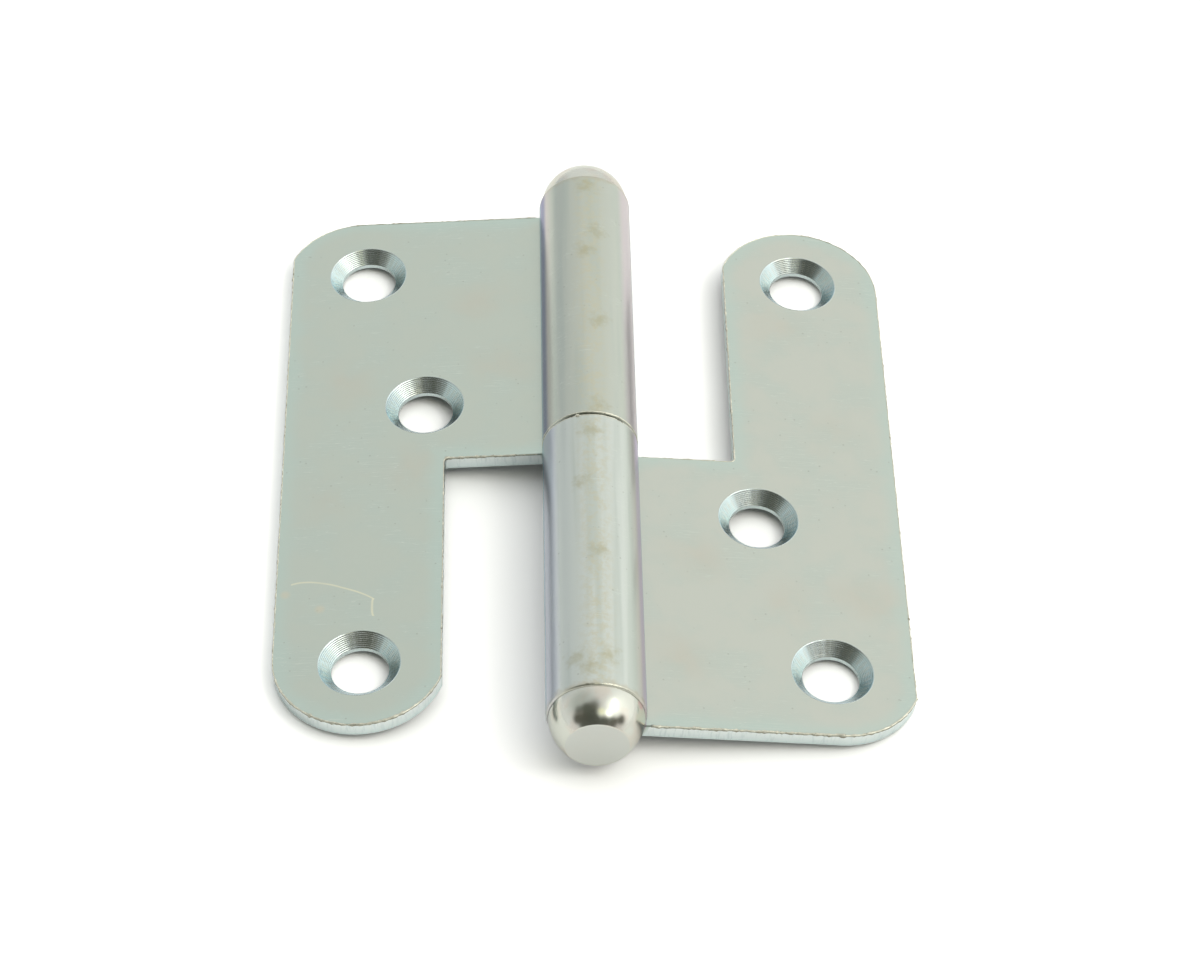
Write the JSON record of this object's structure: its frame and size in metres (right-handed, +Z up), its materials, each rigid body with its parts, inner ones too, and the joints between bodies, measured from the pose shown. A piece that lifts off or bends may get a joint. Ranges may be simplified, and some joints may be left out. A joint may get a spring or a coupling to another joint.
{
  "type": "lift-off hinge",
  "caption": "Zinc plated steel lift-off hinge with L-shaped leaves, rolled knuckles, domed barrel ends and countersunk screw holes, lying open.",
  "frame": {"origin": "on the floor under the middle of the barrel", "axes": "+Y along the barrel, the way the upper leaf lifts off; +X to the lower leaf; +Z up, out of the countersunk faces"},
  "size_m": [0.0772, 0.0958, 0.012],
  "materials": {
    "plated_sheet": "bright zinc plated, satin",
    "polished_cap": "bright zinc plated, polished",
    "pin_steel": "drawn, plain"
  },
  "bodies": {
    "lower_side": {"lower_leaf": "plated_sheet", "lower_cap": "polished_cap"},
    "pin": {"pin": "pin_steel"},
    "upper_side": {"upper_leaf": "plated_sheet", "upper_cap": "polished_cap"}
  },
  "joints": [
    {"name": "swing", "type": "hinge", "parent": "lower_side", "child": "pin", "pos_m": [0, 0, 0.006], "axis": [0, 1, 0], "range_deg": [-151.5, 191.5]},
    {"name": "lift_off", "type": "slide", "parent": "pin", "child": "upper_side", "axis": [0, 1, 0], "range_m": [0, 0.09]}
  ]
}
